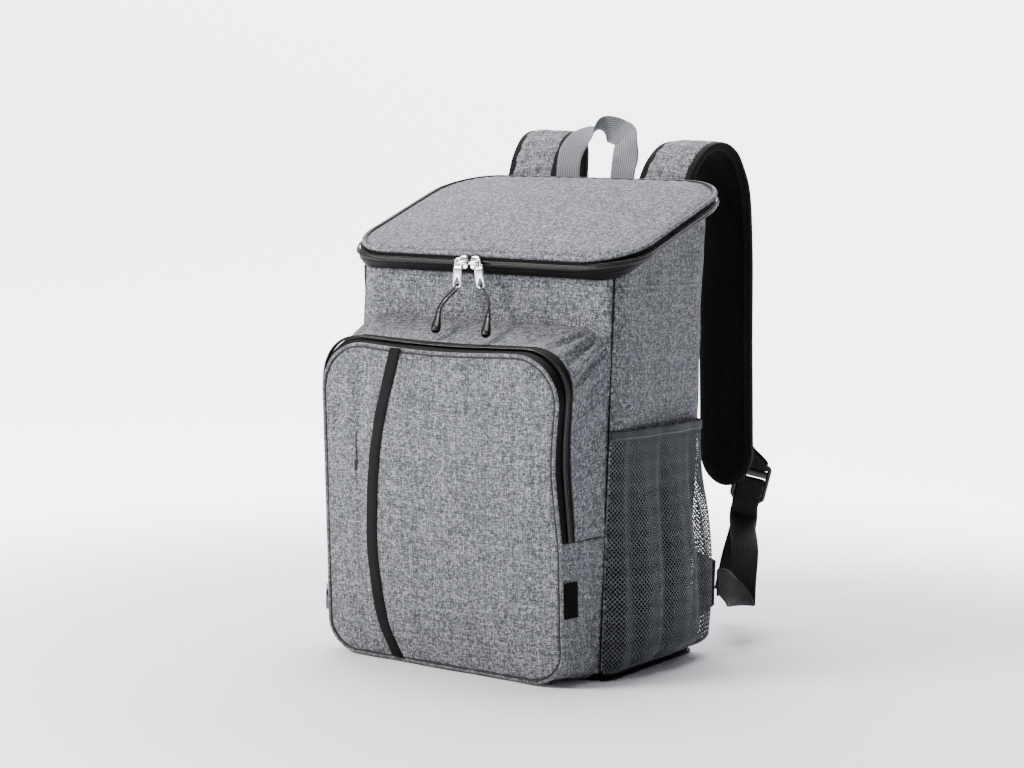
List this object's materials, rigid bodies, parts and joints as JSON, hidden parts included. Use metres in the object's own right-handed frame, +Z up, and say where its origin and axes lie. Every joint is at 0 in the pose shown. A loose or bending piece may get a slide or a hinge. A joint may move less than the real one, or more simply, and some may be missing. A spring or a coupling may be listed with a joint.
{
  "type": "cooler backpack",
  "caption": "Box-shaped insulated backpack with a sloping zipped lid, deep zipped front pocket, mesh side pockets, webbing handle and padded straps.",
  "frame": {"origin": "on the floor under the middle of the main compartment, on its flat bottom panel", "axes": "+Z up, -Y towards the front pocket, +X towards the right as seen from the front"},
  "size_m": [0.3286, 0.4012, 0.4903],
  "materials": {
    "melange_cloth": "woven two-tone melange polyester",
    "lid_cloth": "woven two-tone melange polyester, padded",
    "black_cloth": "woven tape and binding",
    "zip_teeth": "moulded coil",
    "mesh_net": "open knitted net",
    "elastic": "knitted elastic",
    "webbing": "ribbed woven webbing",
    "moulded": "moulded plastic",
    "silver": "polished plated metal",
    "cord": "braided thin cord"
  },
  "bodies": {
    "root": {"front_panel": "melange_cloth", "side_panel_right": "melange_cloth", "back_panel": "melange_cloth", "side_panel_left": "melange_cloth", "bottom_panel": "black_cloth", "corner_seam_front_left": "black_cloth", "corner_seam_front_right": "black_cloth", "corner_seam_back_right": "black_cloth", "corner_seam_back_left": "black_cloth", "bottom_piping": "black_cloth", "lid_zip_tape_lower": "black_cloth", "lid_zip_tape_upper": "black_cloth", "lid_hinge_strip": "melange_cloth", "lid_zip_teeth": "zip_teeth", "lid_panel": "lid_cloth", "lid_piping": "lid_cloth", "pocket_zip_tape": "black_cloth", "pocket_gusset_upper": "melange_cloth", "pocket_gusset_lower": "melange_cloth", "pocket_zip_teeth": "zip_teeth", "pocket_front_panel": "melange_cloth", "pocket_piping": "melange_cloth", "front_strip": "black_cloth", "side_label": "black_cloth", "mesh_pocket_right": "mesh_net", "mesh_pocket_left": "mesh_net", "mesh_band_right": "elastic", "mesh_band_left": "elastic", "carry_handle": "webbing", "shoulder_strap_right": "melange_cloth", "shoulder_strap_left": "melange_cloth", "strap_binding_right": "black_cloth", "strap_binding_left": "black_cloth", "ladder_lock_right": "moulded", "ladder_lock_left": "moulded", "corner_tab_right": "black_cloth", "corner_tab_left": "black_cloth", "adjusting_webbing_right": "webbing", "adjusting_webbing_left": "webbing", "lock_loop_right": "webbing", "lock_loop_left": "webbing", "lid_slider_left": "silver", "lid_slider_right": "silver", "lid_pull_left": "silver", "lid_pull_right": "silver", "pull_cord_left": "cord", "pull_grip_left": "moulded", "pull_cord_right": "cord", "pull_grip_right": "moulded", "pocket_slider": "silver"}
  },
  "joints": []
}
